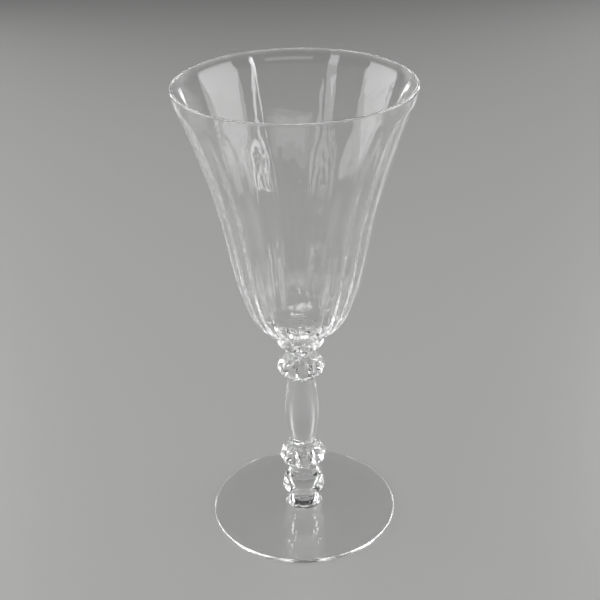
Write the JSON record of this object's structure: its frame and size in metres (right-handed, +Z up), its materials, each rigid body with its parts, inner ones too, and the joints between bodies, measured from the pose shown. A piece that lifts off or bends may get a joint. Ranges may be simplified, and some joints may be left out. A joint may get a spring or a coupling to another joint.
{
  "type": "water goblet",
  "caption": "Clear glass water goblet with a bell bowl, upright optic flutes inside, a slender stem with lobed knops and a flat round foot.",
  "frame": {"origin": "centre of the plane that the foot stands on", "axes": "+Z up along the axis of the bowl and stem; +X and +Y each pass through the middle of a knop's lobe"},
  "size_m": [0.0954, 0.0954, 0.2],
  "materials": {
    "clear_glass": "clear, colourless, fire-polished"
  },
  "bodies": {
    "root": {"foot": "clear_glass", "stem_button": "clear_glass", "lower_knop": "clear_glass", "stem_baluster": "clear_glass", "upper_knop": "clear_glass", "bowl_collar": "clear_glass", "bowl": "clear_glass"}
  },
  "joints": []
}
